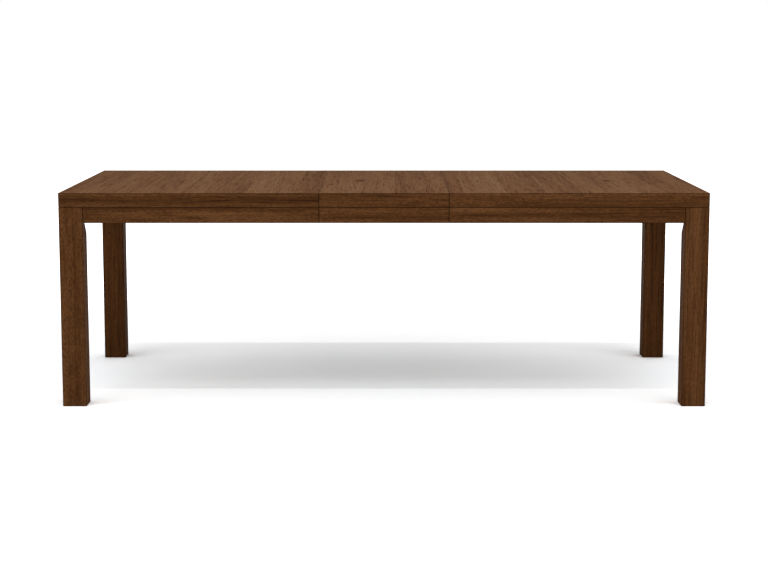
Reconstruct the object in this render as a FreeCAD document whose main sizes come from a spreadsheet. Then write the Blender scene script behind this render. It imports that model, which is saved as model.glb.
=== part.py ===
import FreeCAD, Part
import math
import os
import re

import Sketcher

# A parsons dining table that extends, with its leaf in place.
# Frame: origin on the floor under the middle of the top, X along the table, front towards -Y, Z up.
# The right half is the left half turned half a turn about Z, and each half's back is its front
# mirrored, so one half's pieces are modelled and the others are copies of them.

Vector = FreeCAD.Vector
UP = Vector(0, 0, 1)
INWARD = Vector(1, 1, 0)          # from the left half's front corner towards the table's middle

SIZES = {
    # the whole table
    "table_length": 2286.0,
    "table_depth": 1066.8,
    "table_height": 762.0,
    "leaf_width": 457.2,
    "seam_gap": 0.4,
    # top
    "veneer_thickness": 1.0,
    "panel_thickness": 25.4,
    "edge_height": 50.8,
    "edge_rail_width": 76.2,
    "top_ease": 0.6,
    "seam_ease": 0.6,
    "corner_ease": 2.0,
    # legs and aprons
    "leg_side": 84.7,
    "edge_ease": 1.5,
    "corner_cut": 45.0,
    "corner_run_out": 45.0,
    "apron_height": 55.5,
    "apron_thickness": 22.0,
    "apron_gap": 0.5,
    # corner blocks, their bolts and the small blocks behind the long aprons
    "block_thickness": 38.0,
    "block_rise": 6.0,
    "block_gap": 2.0,
    "bolt_radius": 4.0,
    "bolt_hole_gap": 0.5,
    "bolt_embed": 45.0,
    "bolt_proud": 16.0,
    "nut_across": 13.0,
    "nut_height": 8.0,
    "nut_flange_radius": 9.0,
    "nut_flange_height": 1.5,
    "apron_block_length": 45.0,
    "apron_block_depth": 26.0,
    "apron_block_height": 42.0,
    "apron_block_first": 70.0,
    "apron_block_pitch": 330.0,
    "leaf_block_offset": 125.0,
    # screws up into the top
    "screw_length": 50.0,
    "screw_radius": 2.25,
    "screw_head_radius": 4.2,
    "screw_head_height": 3.0,
    "screw_head_gap": 0.6,
    "screw_bite": 18.0,
    "block_screw_spread": 25.0,
    "slide_screw_first": 60.0,
    "slide_screw_last": 40.0,
    "slide_screw_inset": 8.0,
    # wooden slides
    "slide_inset": 233.4,
    "slide_travel": 60.0,
    "slide_length": 800.0,
    "slide_height": 44.0,
    "slide_width": 25.0,
    "centre_width": 25.0,
    "centre_top_gap": 1.0,
    "slide_side_gap": 0.5,
    "tongue_height": 12.0,
    "tongue_rise": 22.0,
    "tongue_projection": 6.0,
    "tongue_gap": 0.4,
    # racks and pinions
    "gear_module": 2.0,
    "pinion_teeth": 16.0,
    "tooth_addendum": 1.6,
    "tooth_dedendum": 2.2,
    "tooth_backlash": 0.1,
    "pressure_angle": 20.0,
    "rack_backing": 4.0,
    "rack_end_room": 11.0,
    "rack_blank": 12.0,
    "window_rise": 5.0,
    "window_height": 12.0,
    "window_room": 2.4,
    "pinion_end_gap": 0.4,
    "axle_radius": 4.0,
    "axle_gap": 0.05,
    "axle_bite": 12.0,
    # ties between the centre rails
    "tie_offset": 260.0,
    "tie_width": 40.0,
    "tie_thickness": 12.0,
    "tie_gap": 0.5,
    "tie_screw_length": 30.0,
    "tie_screw_spread": 10.0,
    # alignment pins
    "pin_radius": 5.0,
    "pin_seat": 25.0,
    "pin_proud": 12.0,
    "pin_room": 2.0,
    "pin_gap": 0.5,
    "pin_inset": 108.4,
    "pin_spacing": 250.0,
    # leaf locks
    "lock_inset": 133.4,
    "lock_setback": 22.0,
    "strike_setback": 18.0,
    "lock_plate_thickness": 2.0,
    "lock_plate_length": 30.0,
    "lock_plate_width": 34.0,
    "strike_plate_width": 24.0,
    "lever_gap": 0.5,
    "lever_thickness": 3.0,
    "lever_half_width": 9.0,
    "lever_tip": 10.0,
    "lever_mouth_turn": 24.0,
    "lever_handle_thickness": 3.0,
    "lever_handle_drop": 12.0,
    "stud_radius": 3.0,
    "stud_gap": 0.05,
    "strike_gap": 0.35,
    "strike_proud": 2.0,
    "rivet_radius": 5.0,
    "rivet_height": 1.5,
}

# places that several pieces share, as expressions of the sizes
END = "(table_length / 2)"
SEAM = "(leaf_width / 2)"
LEAF_EDGE = "(leaf_width / 2 - seam_gap)"
FRONT = "(table_depth / 2)"
CORE_TOP = "(table_height - veneer_thickness)"
PANEL_UNDER = "(table_height - panel_thickness)"
EDGE_UNDER = "(table_height - edge_height)"
APRON_UNDER = "(table_height - edge_height - apron_height)"
APRON_MIDDLE = "(table_height - edge_height - apron_height / 2)"
CORE_SIDE = "(table_depth / 2 - edge_rail_width)"
PIN_LEVEL = "(table_height - (panel_thickness + veneer_thickness) / 2)"
PIN_FAR = "(table_depth / 2 - pin_inset)"
PIN_NEAR = "(table_depth / 2 - pin_inset - pin_spacing)"
SLIDE_AT = "(table_depth / 2 - slide_inset)"
SLIDE_UNDER = "(table_height - panel_thickness - slide_height)"
CENTRE_UNDER = "(table_height - panel_thickness - slide_height - tie_gap)"
SLIDE_FACE = "(centre_width / 2 + slide_side_gap)"
WINDOW_UNDER = "(table_height - panel_thickness - slide_height + window_rise)"
PITCH_RADIUS = "(gear_module * pinion_teeth / 2)"
TOOTH_PITCH = "(pi * gear_module)"
CUT_SUM = "(2 * leg_side - corner_cut)"          # x + y from the outer corner on the leg's cut face
BLOCK_NEAR = "(2 * leg_side - corner_cut + block_gap)"
BLOCK_FAR = "(2 * leg_side - corner_cut + block_gap + block_thickness * sqrt(2))"
LOCK_AT = "(table_depth / 2 - lock_inset)"
PLATE_UNDER = "(table_height - panel_thickness - lock_plate_thickness)"
LEVER_UNDER = "(table_height - panel_thickness - lock_plate_thickness - lever_gap - lever_thickness)"
LOCK_REACH = "(lock_setback + strike_setback)"

doc = FreeCAD.newDocument("parsons_dining_table")
sheet = doc.addObject("Spreadsheet::Sheet", "Sizes")
for row, (name, number) in enumerate(SIZES.items(), 1):
    sheet.set(f"A{row}", name)
    sheet.set(f"B{row}", str(number))
    sheet.setAlias(f"B{row}", name)
doc.recompute()

nodes = {}


def sized(text):
    """The expression with every size name pointed at its cell."""
    return re.sub(r"\b[a-z]+(?:_[a-z]+)+\b", lambda name: "Sizes." + name.group(), text)


def value(text):
    """The number an expression of the sizes gives now."""
    return float(sheet.evalExpression(sized(text)))


def keep(label, piece):
    """Make this object the node of that name."""
    piece.Label = label
    nodes[label] = piece
    return piece


def new_body(name):
    return doc.addObject("PartDesign::Body", name)


def new_sketch(body, role, lift="0", shift=("0", "0"), turn=0):
    """A sketch on one of the body's origin planes, lifted along its normal, shifted in the
    plane, and turned in degrees about its own upright axis."""
    sketch = body.newObject("Sketcher::SketchObject", "outline")
    plane = next(datum for datum in body.Origin.OriginFeatures if datum.Role == role)
    sketch.AttachmentSupport = [(plane, "")]
    sketch.MapMode = "FlatFace"
    sketch.AttachmentOffset = FreeCAD.Placement(Vector(), FreeCAD.Rotation(Vector(0, 1, 0), turn))
    for axis, text in zip("xyz", (*shift, lift)):
        sketch.setExpression("AttachmentOffset.Base." + axis, sized(text))
    return sketch


def fix_point(sketch, geometry, point, x, y):
    """Tie a point of the sketch to its place from the sketch's origin."""
    for kind, text in (("DistanceX", x), ("DistanceY", y)):
        number = sketch.addConstraint(Sketcher.Constraint(kind, -1, 1, geometry, point, value(text)))
        sketch.renameConstraint(number, f"{kind}{number}")
        sketch.setExpression(f"Constraints.{kind}{number}", sized(text))


def polygon(body, role, points, **place):
    """A closed outline with straight sides through these points."""
    sketch = new_sketch(body, role, **place)
    corners = [Vector(value(x), value(y), 0) for x, y in points]
    following = corners[1:] + corners[:1]
    sketch.addGeometry([Part.LineSegment(near, far) for near, far in zip(corners, following)])
    for side, (x, y) in enumerate(points):
        before = (side - 1) % len(points)
        sketch.addConstraint(Sketcher.Constraint("Coincident", before, 2, side, 1))
        fix_point(sketch, side, 1, x, y)
    return sketch


def circles(body, role, centres, radius, **place):
    """Circles of one radius about these centres."""
    sketch = new_sketch(body, role, **place)
    for number, (x, y) in enumerate(centres):
        centre = Vector(value(x), value(y), 0)
        sketch.addGeometry(Part.Circle(centre, Vector(0, 0, 1), value(radius)))
        fix_point(sketch, number, 3, x, y)
        size = sketch.addConstraint(Sketcher.Constraint("Radius", number, value(radius)))
        sketch.renameConstraint(size, f"Radius{size}")
        sketch.setExpression(f"Constraints.Radius{size}", sized(radius))
    return sketch


def rectangle(x0, x1, y0, y1):
    return [(x0, y0), (x1, y0), (x1, y1), (x0, y1)]


def pad(body, sketch, length, midplane=False, back=False):
    feature = body.newObject("PartDesign::Pad", "pad")
    feature.Profile = sketch
    feature.setExpression("Length", sized(length))
    feature.Midplane = midplane
    feature.Reversed = back
    return feature


def pocket(body, sketch, depth, midplane=False, forward=False):
    """Cut against the sketch's normal, or along it if forward."""
    feature = body.newObject("PartDesign::Pocket", "pocket")
    feature.Profile = sketch
    feature.setExpression("Length", sized(depth))
    feature.Midplane = midplane
    feature.Reversed = forward
    return feature


def slab(name, x0, x1, y0, y1, z0, z1):
    """A square-edged board between these planes."""
    body = new_body(name)
    pad(body, polygon(body, "XY_Plane", rectangle(x0, x1, y0, y1), lift=z0), f"({z1}) - ({z0})")
    return body


def ease(body, size, chosen):
    """Chamfer the edges whose two ends both pass the test."""
    doc.recompute()
    base = body.Tip
    names = [
        f"Edge{number}"
        for number, edge in enumerate(base.Shape.Edges, 1)
        if all(chosen(vertex.Point) for vertex in edge.Vertexes)
    ]
    feature = body.newObject("PartDesign::Chamfer", "ease")
    feature.Base = (base, names)
    feature.setExpression("Size", sized(size))
    return feature


def at(number, text):
    """Whether a coordinate lies on the plane that an expression gives."""
    return abs(number - value(text)) < 0.01


def moved(name, piece, x="0", y="0", z="0", turn=0):
    """A copy of the piece, turned about Z in degrees and moved."""
    copy = doc.addObject("Part::Compound", name)
    copy.Links = [piece]
    copy.Placement = FreeCAD.Placement(Vector(), FreeCAD.Rotation(UP, turn))
    for axis, text in zip("xyz", (x, y, z)):
        if text != "0":
            copy.setExpression("Placement.Base." + axis, sized(text))
    return copy


def mirrored(name, piece, normal=Vector(0, 1, 0)):
    """The piece mirrored in the upright plane through the origin with this normal."""
    copy = doc.addObject("Part::Mirroring", name)
    copy.Source = piece
    copy.Base = Vector()
    copy.Normal = normal
    return copy


def group(name, pieces):
    """Separate solids that share a node."""
    together = doc.addObject("Part::Compound", name)
    together.Links = pieces
    return together


def half_node(name, piece):
    """The left half's piece, and the right half's copy of it."""
    keep("left_" + name, piece)
    keep("right_" + name, moved("right_" + name, piece, turn=180))


def half_pair(name, front, back):
    """The left half's front and back pieces. Half a turn brings the front one to the right
    half's back."""
    keep("left_front_" + name, front)
    keep("left_back_" + name, back)
    keep("right_front_" + name, moved("right_front_" + name, back, turn=180))
    keep("right_back_" + name, moved("right_back_" + name, front, turn=180))


# ---- top of a half ----

def top_veneer():
    body = new_body("top_veneer")
    corner = "corner_ease"
    outline = [
        (f"-{END} + {corner}", f"-{FRONT}"), (f"-{SEAM}", f"-{FRONT}"),
        (f"-{SEAM}", FRONT), (f"-{END} + {corner}", FRONT),
        (f"-{END}", f"{FRONT} - {corner}"), (f"-{END}", f"-{FRONT} + {corner}"),
    ]
    pad(body, polygon(body, "XY_Plane", outline, lift=CORE_TOP), "veneer_thickness")
    ease(body, "top_ease", lambda point: at(point.z, "table_height"))
    return body


def core_panel():
    body = slab("core_panel", f"-{END} + edge_rail_width", f"-{SEAM}",
                f"-{CORE_SIDE}", CORE_SIDE, PANEL_UNDER, CORE_TOP)
    seats = circles(body, "YZ_Plane", [(f"-{PIN_FAR}", PIN_LEVEL), (PIN_NEAR, PIN_LEVEL)],
                    "pin_radius", lift=f"-{SEAM}")
    pocket(body, seats, "pin_seat")
    sockets = circles(body, "YZ_Plane", [(PIN_FAR, PIN_LEVEL), (f"-{PIN_NEAR}", PIN_LEVEL)],
                      "pin_radius + pin_gap", lift=f"-{SEAM}")
    pocket(body, sockets, "pin_proud + pin_room")
    for place in slide_screw_places():
        holes = circles(body, "XY_Plane", [place], "screw_radius", lift=f"{PANEL_UNDER} + screw_bite")
        pocket(body, holes, "screw_bite")
    return body


def front_edge_rail():
    body = new_body("front_edge_rail")
    outline = [
        (f"-{END} + corner_ease", f"-{FRONT}"), (f"-{SEAM}", f"-{FRONT}"),
        (f"-{SEAM}", f"-{FRONT} + edge_rail_width"),
        (f"-{END} + edge_rail_width", f"-{FRONT} + edge_rail_width"),
        (f"-{END} + corner_ease / 2", f"-{FRONT} + corner_ease / 2"),
    ]
    pad(body, polygon(body, "XY_Plane", outline, lift=EDGE_UNDER), f"{CORE_TOP} - {EDGE_UNDER}")
    ease(body, "edge_ease", lambda point: at(point.z, EDGE_UNDER) and at(point.y, f"-{FRONT}"))
    ease(body, "seam_ease", lambda point: at(point.x, f"-{SEAM}") and point.y < value(f"-{CORE_SIDE}") - 1
         and (at(point.y, f"-{FRONT}") or at(point.y, f"-{FRONT} + edge_ease")))
    place = block_screw_places()[0]
    hole = circles(body, "XY_Plane", [place], "screw_radius", lift=f"{EDGE_UNDER} + screw_bite")
    pocket(body, hole, "screw_bite")
    return body


def end_edge_rail():
    body = new_body("end_edge_rail")
    outline = [
        (f"-{END}", f"-{FRONT} + corner_ease"),
        (f"-{END} + corner_ease / 2", f"-{FRONT} + corner_ease / 2"),
        (f"-{END} + edge_rail_width", f"-{FRONT} + edge_rail_width"),
        (f"-{END} + edge_rail_width", f"{FRONT} - edge_rail_width"),
        (f"-{END} + corner_ease / 2", f"{FRONT} - corner_ease / 2"),
        (f"-{END}", f"{FRONT} - corner_ease"),
    ]
    pad(body, polygon(body, "XY_Plane", outline, lift=EDGE_UNDER), f"{CORE_TOP} - {EDGE_UNDER}")
    ease(body, "edge_ease", lambda point: at(point.z, EDGE_UNDER) and at(point.x, f"-{END}"))
    x, y = block_screw_places()[1]
    holes = circles(body, "XY_Plane", [(x, y), (x, f"-({y})")], "screw_radius",
                    lift=f"{EDGE_UNDER} + screw_bite")
    pocket(body, holes, "screw_bite")
    return body


# ---- legs and aprons of a half ----

def front_leg():
    body = slab("front_leg", f"-{END}", f"-{END} + leg_side", f"-{FRONT}", f"-{FRONT} + leg_side",
                "0", EDGE_UNDER)
    ease(body, "edge_ease", lambda point: True)
    diagonal = "corner_cut / sqrt(2)"
    cut = [
        (f"-{diagonal}", APRON_UNDER), (f"-{diagonal}", f"{EDGE_UNDER} + edge_ease"),
        ("edge_ease", f"{EDGE_UNDER} + edge_ease"),
        ("edge_ease", f"{APRON_UNDER} - corner_run_out"),
        ("0", f"{APRON_UNDER} - corner_run_out"),
    ]
    upright = polygon(body, "XZ_Plane", cut, shift=(f"-{END} + leg_side", "0"),
                      lift=f"{FRONT} - leg_side", turn=45)
    pocket(body, upright, "leg_side * 2", midplane=True)
    seat = circles(body, "XZ_Plane", [("0", APRON_MIDDLE)], "bolt_radius",
                   shift=(f"-{END} + {CUT_SUM} / 2", "0"), lift=f"{FRONT} - {CUT_SUM} / 2", turn=-45)
    pocket(body, seat, "bolt_embed", forward=True)
    return body


def front_apron():
    body = slab("front_apron", f"-{END} + leg_side + apron_gap", f"-{SEAM}",
                f"-{FRONT}", f"-{FRONT} + apron_thickness", APRON_UNDER, EDGE_UNDER)
    ease(body, "edge_ease", lambda point: at(point.y, f"-{FRONT}") and not at(point.x, f"-{SEAM}")
         or at(point.y, f"-{FRONT}") and at(point.z, EDGE_UNDER)
         or at(point.y, f"-{FRONT}") and at(point.z, APRON_UNDER))
    ease(body, "seam_ease", lambda point: at(point.x, f"-{SEAM}")
         and point.y < value(f"-{FRONT} + edge_ease") + 0.01)
    return body


def end_apron():
    body = slab("end_apron", f"-{END}", f"-{END} + apron_thickness",
                f"-{FRONT} + leg_side + apron_gap", f"{FRONT} - leg_side - apron_gap",
                APRON_UNDER, EDGE_UNDER)
    ease(body, "edge_ease", lambda point: at(point.x, f"-{END}"))
    return body


# ---- corner blocks, bolts and screws of a half ----

def block_screw_places():
    """Two places along a corner block, one under each edge rail that meets at the corner."""
    middle = f"({BLOCK_NEAR} + {BLOCK_FAR}) / 4"
    far, near = f"({middle} + block_screw_spread)", f"({middle} - block_screw_spread)"
    return [(f"-{END} + {far}", f"-{FRONT} + {near}"), (f"-{END} + {near}", f"-{FRONT} + {far}")]


def slide_screw_places():
    """Three places along each slide rail of the left half, clear of its groove and rebate."""
    inset = f"({SLIDE_FACE} + slide_width - slide_screw_inset)"
    pitch = "(slide_length / 2 - slide_screw_first - slide_screw_last) / 2"
    return [
        (f"-{SEAM} - slide_screw_first - {number} * {pitch}", f"{side} * {SLIDE_AT} - {inset}")
        for side in (-1, 1)
        for number in range(3)
    ]


def screw_holes(body, places, top, under):
    """Through holes up to the top plane, counterbored from the under plane for the heads."""
    shanks = circles(body, "XY_Plane", places, "screw_radius", lift=top)
    pocket(body, shanks, f"{top} - {under}")
    head_seat = f"{top} + screw_bite - screw_length + screw_head_height"
    heads = circles(body, "XY_Plane", places, "screw_head_radius + screw_head_gap", lift=head_seat)
    pocket(body, heads, f"{head_seat} - {under}")


def corner_block():
    body = new_body("corner_block")
    outline = [
        (f"-{END} + {BLOCK_NEAR} - apron_thickness", f"-{FRONT} + apron_thickness"),
        (f"-{END} + {BLOCK_FAR} - apron_thickness", f"-{FRONT} + apron_thickness"),
        (f"-{END} + apron_thickness", f"-{FRONT} + {BLOCK_FAR} - apron_thickness"),
        (f"-{END} + apron_thickness", f"-{FRONT} + {BLOCK_NEAR} - apron_thickness"),
    ]
    under = f"({APRON_UNDER} + block_rise)"
    pad(body, polygon(body, "XY_Plane", outline, lift=under), f"{EDGE_UNDER} - {under}")
    bore = circles(body, "XZ_Plane", [("0", APRON_MIDDLE)], "bolt_radius + bolt_hole_gap",
                   shift=(f"-{END} + {BLOCK_NEAR} / 2", "0"), lift=f"{FRONT} - {BLOCK_NEAR} / 2", turn=-45)
    pocket(body, bore, "block_thickness * 3", midplane=True)
    screw_holes(body, block_screw_places(), EDGE_UNDER, under)
    return body


def along_bolt(body, distance):
    """Stand a piece on the bolt's line, this far inward of the leg's cut face."""
    body.Placement = FreeCAD.Placement(Vector(), FreeCAD.Rotation(UP, INWARD))
    body.setExpression("Placement.Base.x", sized(f"-{END} + {CUT_SUM} / 2 + ({distance}) / sqrt(2)"))
    body.setExpression("Placement.Base.y", sized(f"-{FRONT} + {CUT_SUM} / 2 + ({distance}) / sqrt(2)"))
    body.setExpression("Placement.Base.z", sized(APRON_MIDDLE))


def hanger_bolt():
    body = new_body("hanger_bolt")
    length = "bolt_embed + block_gap / sqrt(2) + block_thickness + bolt_proud"
    pad(body, circles(body, "XY_Plane", [("0", "0")], "bolt_radius"), length)
    ease(body, "bolt_radius / 6", lambda point: True)
    along_bolt(body, "-bolt_embed")
    return body


def flange_nut():
    body = new_body("flange_nut")
    flange = circles(body, "XY_Plane", [("0", "0")], "nut_flange_radius")
    pad(body, flange, "nut_flange_height")
    corner = "nut_across / sqrt(3)"
    hexagon = [
        (f"{corner} * {math.cos(math.radians(60 * side)):.6f}",
         f"{corner} * {math.sin(math.radians(60 * side)):.6f}")
        for side in range(6)
    ]
    pad(body, polygon(body, "XY_Plane", hexagon, lift="nut_flange_height"), "nut_height")
    bore = circles(body, "XY_Plane", [("0", "0")], "bolt_radius")
    pocket(body, bore, "nut_flange_height + nut_height", forward=True)
    along_bolt(body, "block_gap / sqrt(2) + block_thickness")
    return body


def wood_screw(name, length):
    """A screw standing point up on its head, about the Z axis."""
    body = new_body(name)
    profile = [
        ("0", "0"), ("screw_head_radius", "0"), ("screw_head_radius", "screw_head_height / 3"),
        ("screw_radius", "screw_head_height"), ("screw_radius", f"{length} - screw_radius * 2"),
        ("0", length),
    ]
    turned = body.newObject("PartDesign::Revolution", "turned")
    turned.Profile = polygon(body, "XZ_Plane", profile)
    turned.ReferenceAxis = (turned.Profile[0], ["V_Axis"])
    turned.Angle = 360
    return body


def top_screws():
    screw = wood_screw("top_screw", "screw_length")
    low = "screw_bite - screw_length"
    screws = [
        moved("slide_screw", screw, x, y, f"{PANEL_UNDER} + {low}") for x, y in slide_screw_places()
    ]
    for x, y in block_screw_places():
        for back in (y, f"-({y})"):
            screws.append(moved("block_screw", screw, x, back, f"{EDGE_UNDER} + {low}"))
    return group("top_screws", screws)


def apron_block(x):
    """A block glued behind a long apron and under the edge rail, its middle at x."""
    return slab("apron_block", f"{x} - apron_block_length / 2", f"{x} + apron_block_length / 2",
                f"-{FRONT} + apron_thickness", f"-{FRONT} + apron_thickness + apron_block_depth",
                f"{EDGE_UNDER} - apron_block_height", EDGE_UNDER)


# ---- slides ----

def slide_rail():
    """The left half's front slide rail, with its groove and rack rebate on the side of +Y."""
    outer, inner = f"-{SLIDE_AT} - {SLIDE_FACE} - slide_width", f"-{SLIDE_AT} - {SLIDE_FACE}"
    under = f"({SLIDE_UNDER} + tongue_rise - tongue_gap)"
    over = f"({SLIDE_UNDER} + tongue_rise + tongue_height + tongue_gap)"
    groove = f"{inner} - tongue_projection + slide_side_gap - tongue_gap"
    back = f"-{SLIDE_AT} - {PITCH_RADIUS} - tooth_dedendum - rack_backing"
    ceiling = f"{WINDOW_UNDER} + window_height"
    section = [
        (outer, SLIDE_UNDER), (back, SLIDE_UNDER), (back, ceiling), (inner, ceiling),
        (inner, under), (groove, under), (groove, over), (inner, over),
        (inner, PANEL_UNDER), (outer, PANEL_UNDER),
    ]
    body = new_body("slide_rail")
    pad(body, polygon(body, "YZ_Plane", section, lift=f"-slide_length / 2 - {SEAM}"), "slide_length")
    screw_holes(body, slide_screw_places()[:3], PANEL_UNDER, SLIDE_UNDER)
    return body


def slide_rack():
    """The left half's front rack: a bar whose straight teeth end where the slide stops."""
    gap_before = f"ceil(({SEAM} + rack_end_room) / {TOOTH_PITCH})"
    gap_after = f"ceil((slide_travel + rack_end_room) / {TOOTH_PITCH})"
    tip = f"-{SLIDE_AT} - {PITCH_RADIUS} + tooth_addendum"
    root = f"-{SLIDE_AT} - {PITCH_RADIUS} - tooth_dedendum"
    body = slab("slide_rack", f"-{gap_before} * {TOOTH_PITCH} - rack_blank",
                f"{gap_after} * {TOOTH_PITCH} + rack_blank",
                f"{root} - rack_backing", tip, WINDOW_UNDER, f"{WINDOW_UNDER} + window_height")
    first = f"-{gap_before} * {TOOTH_PITCH}"
    half = f"({TOOTH_PITCH} / 4 + tooth_backlash / 2"
    wide = f"{half} + tooth_addendum * tan(pressure_angle * 1 deg))"
    narrow = f"{half} - tooth_dedendum * tan(pressure_angle * 1 deg))"
    outline = [(f"{first} - {wide}", tip), (f"{first} - {narrow}", root),
               (f"{first} + {narrow}", root), (f"{first} + {wide}", tip)]
    gap = pocket(body, polygon(body, "XY_Plane", outline, lift=f"{WINDOW_UNDER} + window_height"),
                 "window_height")
    row = body.newObject("PartDesign::LinearPattern", "gaps")
    row.Originals = [gap]
    row.Direction = (gap.Profile[0], ["H_Axis"])
    row.setExpression("Occurrences", sized(f"{gap_before} + {gap_after} + 1"))
    row.setExpression("Length", sized(f"({gap_before} + {gap_after}) * {TOOTH_PITCH}"))
    body.Tip = row
    return body


def centre_rail():
    """The front slide unit's middle rail: a tongue on each side, and a window for the pinion."""
    side = "(centre_width / 2)"
    tongue = "(centre_width / 2 + tongue_projection)"
    low = f"({SLIDE_UNDER} + tongue_rise)"
    high = f"({SLIDE_UNDER} + tongue_rise + tongue_height)"
    top = f"({PANEL_UNDER} - centre_top_gap)"
    right = [(side, CENTRE_UNDER), (side, low), (tongue, low), (tongue, high), (side, high), (side, top)]
    left = [(f"-{y}", z) for y, z in reversed(right)]
    section = [(f"-{SLIDE_AT} + {y}", z) for y, z in right + left]
    body = new_body("centre_rail")
    pad(body, polygon(body, "YZ_Plane", section), "slide_length", midplane=True)
    room = f"({PITCH_RADIUS} + tooth_addendum + window_room)"
    window = rectangle(f"-{room}", room, f"-{SLIDE_AT} - {side}", f"-{SLIDE_AT} + {side}")
    pocket(body, polygon(body, "XY_Plane", window, lift=f"{WINDOW_UNDER} + window_height"),
           "window_height")
    top_of_axle = f"({WINDOW_UNDER} + window_height + axle_bite)"
    bore = circles(body, "XY_Plane", [("0", f"-{SLIDE_AT}")], "axle_radius", lift=top_of_axle)
    pocket(body, bore, f"{top_of_axle} - {CENTRE_UNDER}")
    places = [(x, f"-{SLIDE_AT}") for x in tie_screw_columns()]
    tip = f"({CENTRE_UNDER} - tie_thickness + tie_screw_length)"
    pocket(body, circles(body, "XY_Plane", places, "screw_radius", lift=tip), f"{tip} - {CENTRE_UNDER}")
    return body


def pinion_axle():
    body = new_body("pinion_axle")
    top_of_axle = f"({WINDOW_UNDER} + window_height + axle_bite)"
    pad(body, circles(body, "XY_Plane", [("0", f"-{SLIDE_AT}")], "axle_radius", lift=CENTRE_UNDER),
        f"{top_of_axle} - {CENTRE_UNDER}")
    return body


def pinion_shape():
    """A spur pinion about the Z axis with involute flanks, one tooth towards +Y."""
    teeth = int(value("pinion_teeth"))
    pitch = value(PITCH_RADIUS)
    angle = math.radians(value("pressure_angle"))
    base, tip, root = (pitch * math.cos(angle), pitch + value("tooth_addendum"),
                       pitch - value("tooth_dedendum"))
    half_tooth = (math.pi * value("gear_module") - value("tooth_backlash")) / 2 / pitch / 2

    def flank(radius):
        """Half the tooth's angle at this radius: constant below the base circle, then falling
        by the involute of the pressure angle there."""
        roll = math.acos(min(base / radius, 1))
        return half_tooth + math.tan(angle) - angle - math.tan(roll) + roll

    def point(radius, turn):
        return Vector(-radius * math.sin(turn), radius * math.cos(turn), 0)

    edges = []
    for tooth in range(teeth):
        middle = 2 * math.pi * tooth / teeth
        radii = [base, (base + tip) / 2, tip]
        near = [point(radius, middle - flank(radius)) for radius in radii]
        far = [point(radius, middle + flank(radius)) for radius in reversed(radii)]
        foot_near, foot_far = point(root, middle - flank(base)), point(root, middle + flank(base))
        next_foot = point(root, middle + 2 * math.pi / teeth - flank(base))
        valley = point(root, middle + math.pi / teeth)
        edges += [
            Part.LineSegment(foot_near, near[0]).toShape(),
            Part.Arc(*near).toShape(),
            Part.Arc(near[2], point(tip, middle), far[0]).toShape(),
            Part.Arc(*far).toShape(),
            Part.LineSegment(far[2], foot_far).toShape(),
            Part.Arc(foot_far, valley, next_foot).toShape(),
        ]
    thick = value("window_height - 2 * pinion_end_gap")
    blank = Part.Face(Part.Wire(edges)).extrude(Vector(0, 0, thick))
    return blank.cut(Part.makeCylinder(value("axle_radius + axle_gap"), thick))


def pinion(name, y):
    feature = doc.addObject("Part::Feature", name)
    feature.Shape = pinion_shape()
    feature.setExpression("Placement.Base.y", sized(y))
    feature.setExpression("Placement.Base.z", sized(f"{WINDOW_UNDER} + pinion_end_gap"))
    return feature


def tie_screw_columns():
    return [
        f"{side} * tie_offset + {spread} * tie_screw_spread" for side in (-1, 1) for spread in (-1, 1)
    ]


def cross_tie():
    """The left one of two ties under the centre rails."""
    reach = f"({SLIDE_AT} + centre_width / 2)"
    low = f"({CENTRE_UNDER} - tie_thickness)"
    body = slab("cross_tie", "-tie_offset - tie_width / 2", "-tie_offset + tie_width / 2",
                f"-{reach}", reach, low, CENTRE_UNDER)
    places = [(x, y) for x in tie_screw_columns()[:2] for y in (f"-{SLIDE_AT}", SLIDE_AT)]
    pocket(body, circles(body, "XY_Plane", places, "screw_radius", lift=CENTRE_UNDER), "tie_thickness")
    seats = circles(body, "XY_Plane", places, "screw_head_radius + screw_head_gap",
                    lift=f"{low} + screw_head_height")
    pocket(body, seats, "screw_head_height")
    return body


# ---- pins and locks ----

def alignment_pin(y):
    body = new_body("alignment_pin")
    pad(body, circles(body, "YZ_Plane", [(y, PIN_LEVEL)], "pin_radius", lift=f"-{SEAM} - pin_seat"),
        "pin_seat + pin_proud")
    ease(body, "pin_radius / 5", lambda point: at(point.x, f"-{SEAM} + pin_proud"))
    return body


def lock_plate():
    """The front left lock's plate, with its riveted pivot stud."""
    body = new_body("lock_plate")
    x, y = f"(-{SEAM} - lock_setback)", f"-{LOCK_AT}"
    outline = rectangle(f"{x} - lock_plate_width / 2", f"{x} + lock_plate_width / 2",
                        f"{y} - lock_plate_length / 2", f"{y} + lock_plate_length / 2")
    pad(body, polygon(body, "XY_Plane", outline, lift=PLATE_UNDER), "lock_plate_thickness")
    stud = circles(body, "XY_Plane", [(x, y)], "stud_radius", lift=PLATE_UNDER)
    pad(body, stud, "2 * lever_gap + lever_thickness", back=True)
    rivet = circles(body, "XY_Plane", [(x, y)], "rivet_radius", lift=f"{LEVER_UNDER} - lever_gap")
    pad(body, rivet, "rivet_height", back=True)
    return body


def lock_strike():
    """The front left lock's strike: a plate with the stud that the lever's slot takes."""
    body = new_body("lock_strike")
    x, y = f"(-{SEAM} + strike_setback)", f"-{LOCK_AT}"
    outline = rectangle(f"{x} - strike_plate_width / 2", f"{x} + strike_plate_width / 2",
                        f"{y} - lock_plate_length / 2", f"{y} + lock_plate_length / 2")
    pad(body, polygon(body, "XY_Plane", outline, lift=PLATE_UNDER), "lock_plate_thickness")
    stud = circles(body, "XY_Plane", [(x, y)], "stud_radius", lift=PLATE_UNDER)
    pad(body, stud, "lever_gap + lever_thickness + strike_proud", back=True)
    return body


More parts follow.
